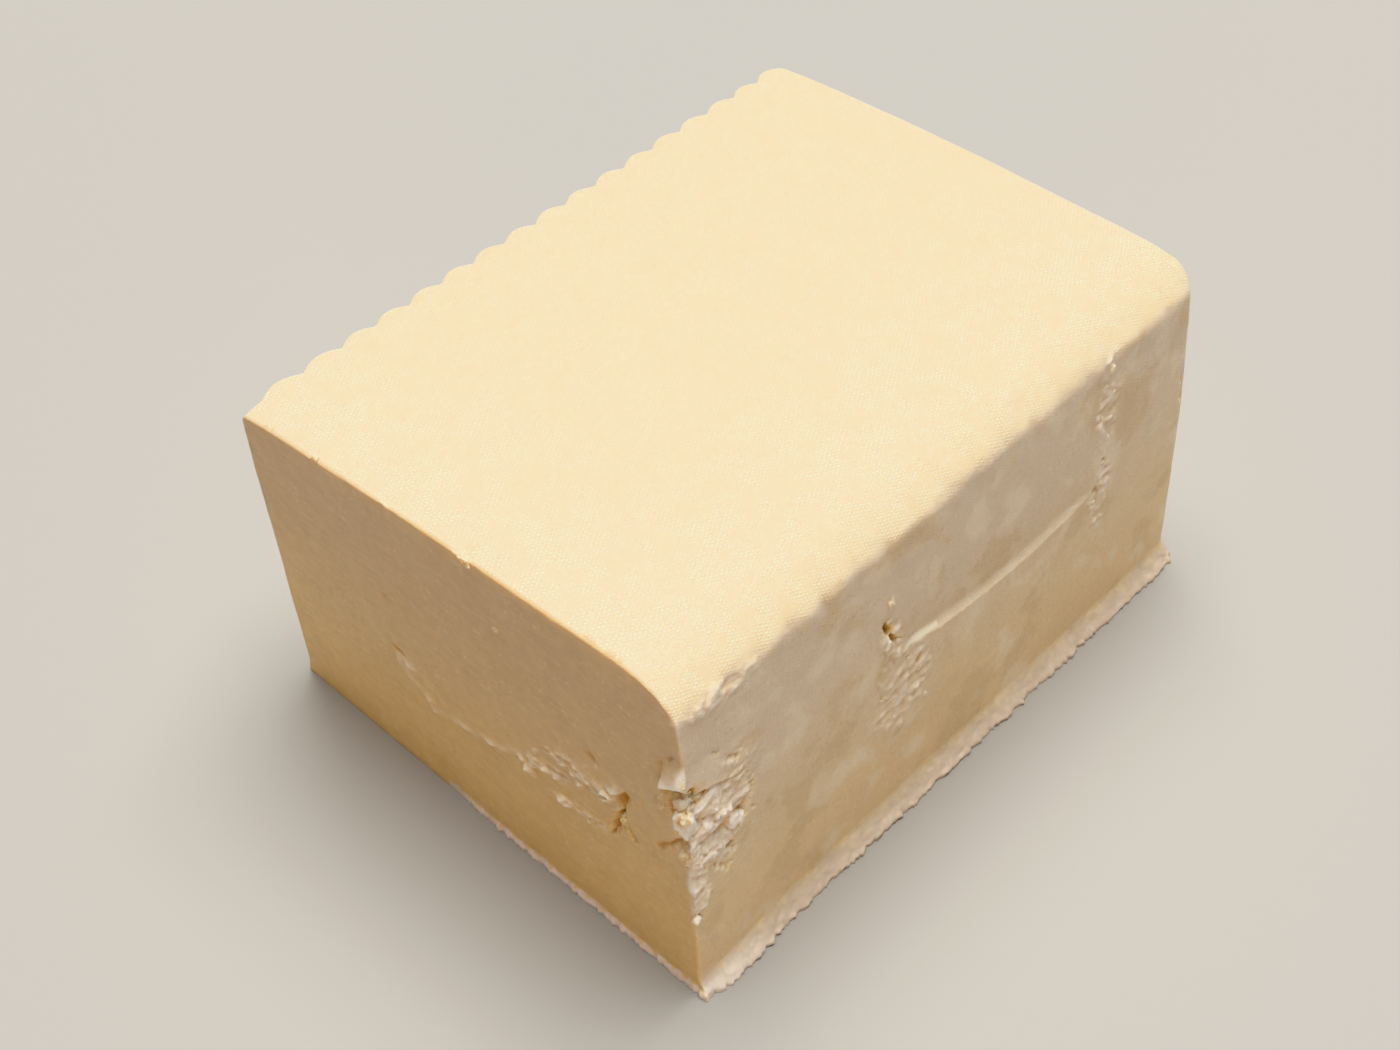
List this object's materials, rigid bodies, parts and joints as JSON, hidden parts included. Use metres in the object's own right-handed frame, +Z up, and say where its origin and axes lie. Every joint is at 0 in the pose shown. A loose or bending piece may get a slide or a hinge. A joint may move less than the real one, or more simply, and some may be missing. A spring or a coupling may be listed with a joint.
{
  "type": "tofu block",
  "caption": "Block of firm tofu cut from a pressed slab, fluted along one side, with a lip along the foot of the other and small torn places.",
  "frame": {"origin": "middle of the underside's box, on the surface the block rests on", "axes": "+Z up; +X along the block, from the knife cut to the far end; +Y across it, from the side with the lip to the fluted side"},
  "size_m": [0.0958, 0.0734, 0.0495],
  "materials": {
    "tofu": "moist pressed curd, cream, with the weave of the pressing cloth on the top and torn crumbs on the sides"
  },
  "bodies": {
    "root": {"tofu_block": "tofu"}
  },
  "joints": []
}
